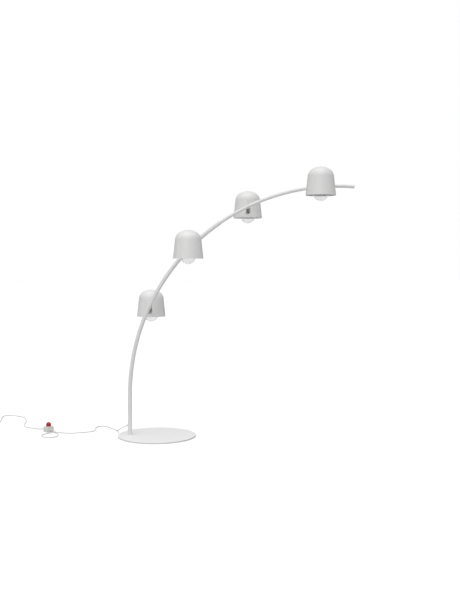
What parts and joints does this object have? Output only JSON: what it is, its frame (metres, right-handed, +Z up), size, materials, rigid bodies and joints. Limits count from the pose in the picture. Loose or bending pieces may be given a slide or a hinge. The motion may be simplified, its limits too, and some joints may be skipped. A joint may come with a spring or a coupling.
{
  "type": "arc floor lamp",
  "caption": "Arc floor lamp: tubular arm bent to one large arc on a flat round base, bell shades on swivelling stems either side of it, and a foot switch on its cord.",
  "frame": {"origin": "centre of the base's rest face, on the floor", "axes": "+Z up, +X from the base towards the arm's overhang, the arc lies in the XZ plane"},
  "size_m": [2.4994, 1.0325, 1.7193],
  "materials": {
    "white_paint": "satin powder coat",
    "shade_paint": "satin powder coat",
    "white_plastic": "fine satin",
    "cord_white": "satin",
    "red_plastic": "satin gloss",
    "dark_plastic": "matt",
    "pad_rubber": "matt",
    "bright_steel": "zinc plated",
    "washer_fibre": "matt",
    "clear_glass": "clear",
    "nickel_cap": "bright",
    "filament_wire": "fine wire"
  },
  "bodies": {
    "stand": {"base_plate": "white_paint", "base_pads": "pad_rubber", "foot_spigot": "bright_steel", "foot_bolt": "bright_steel", "foot_tube": "white_paint", "foot_coupler": "bright_steel", "lower_arm": "white_paint", "upper_arm": "white_paint", "end_cap": "white_plastic", "grub_screws": "bright_steel", "arm_lead": "cord_white", "cord_gland": "white_plastic", "stem_saddles": "white_paint", "stem_nipples": "bright_steel", "crown_nuts": "white_paint", "swivel_washers": "washer_fibre", "swivel_nuts": "bright_steel", "switch_base": "white_plastic", "switch_cover": "white_plastic", "switch_module": "dark_plastic", "switch_spring": "bright_steel", "cord_lamp": "cord_white", "cord_mains": "cord_white", "cord_coil": "cord_white", "plug_body": "white_plastic", "plug_pins": "bright_steel"},
    "stem_1": {"lamp_1_stem": "white_paint"},
    "head_1": {"lamp_1_bracket": "white_paint", "lamp_1_fasteners": "bright_steel", "lamp_1_lampholder": "white_plastic", "lamp_1_shade": "shade_paint", "lamp_1_bulb_glass": "clear_glass", "lamp_1_bulb_cap": "nickel_cap", "lamp_1_filament": "filament_wire"},
    "stem_2": {"lamp_2_stem": "white_paint"},
    "head_2": {"lamp_2_bracket": "white_paint", "lamp_2_fasteners": "bright_steel", "lamp_2_lampholder": "white_plastic", "lamp_2_shade": "shade_paint", "lamp_2_bulb_glass": "clear_glass", "lamp_2_bulb_cap": "nickel_cap", "lamp_2_filament": "filament_wire"},
    "stem_3": {"lamp_3_stem": "white_paint"},
    "head_3": {"lamp_3_bracket": "white_paint", "lamp_3_fasteners": "bright_steel", "lamp_3_lampholder": "white_plastic", "lamp_3_shade": "shade_paint", "lamp_3_bulb_glass": "clear_glass", "lamp_3_bulb_cap": "nickel_cap", "lamp_3_filament": "filament_wire"},
    "stem_4": {"lamp_4_stem": "white_paint"},
    "head_4": {"lamp_4_bracket": "white_paint", "lamp_4_fasteners": "bright_steel", "lamp_4_lampholder": "white_plastic", "lamp_4_shade": "shade_paint", "lamp_4_bulb_glass": "clear_glass", "lamp_4_bulb_cap": "nickel_cap", "lamp_4_filament": "filament_wire"},
    "button": {"switch_button": "red_plastic"}
  },
  "joints": [
    {"name": "lamp_1_swivel", "type": "hinge", "parent": "stand", "child": "stem_1", "pos_m": [-0.05335, 0, 0.82869], "axis": [0, 1, 0], "range_deg": [-170, 170]},
    {"name": "lamp_1_tilt", "type": "hinge", "parent": "stem_1", "child": "head_1", "pos_m": [-0.05335, 0.11476, 0.82869], "axis": [1, 0, 0], "range_deg": [-45, 20]},
    {"name": "lamp_2_swivel", "type": "hinge", "parent": "stand", "child": "stem_2", "pos_m": [0.21024, 0, 1.21222], "axis": [0, -1, 0], "range_deg": [-170, 170]},
    {"name": "lamp_2_tilt", "type": "hinge", "parent": "stem_2", "child": "head_2", "pos_m": [0.21024, -0.11476, 1.21222], "axis": [-1, 0, 0], "range_deg": [-45, 20]},
    {"name": "lamp_3_swivel", "type": "hinge", "parent": "stand", "child": "stem_3", "pos_m": [0.58912, 0, 1.48246], "axis": [0, 1, 0], "range_deg": [-170, 170]},
    {"name": "lamp_3_tilt", "type": "hinge", "parent": "stem_3", "child": "head_3", "pos_m": [0.58912, 0.11476, 1.48246], "axis": [1, 0, 0], "range_deg": [-45, 20]},
    {"name": "lamp_4_swivel", "type": "hinge", "parent": "stand", "child": "stem_4", "pos_m": [1.03757, 0, 1.60683], "axis": [0, -1, 0], "range_deg": [-170, 170]},
    {"name": "lamp_4_tilt", "type": "hinge", "parent": "stem_4", "child": "head_4", "pos_m": [1.03757, -0.11476, 1.60683], "axis": [-1, 0, 0], "range_deg": [-45, 20]},
    {"name": "switch_press", "type": "slide", "parent": "stand", "child": "button", "axis": [0, 0, -1], "range_m": [0, 0.003], "stiffness_N_per_m": 600, "springref_m": -0.003, "deforming": ["switch_spring"]}
  ]
}
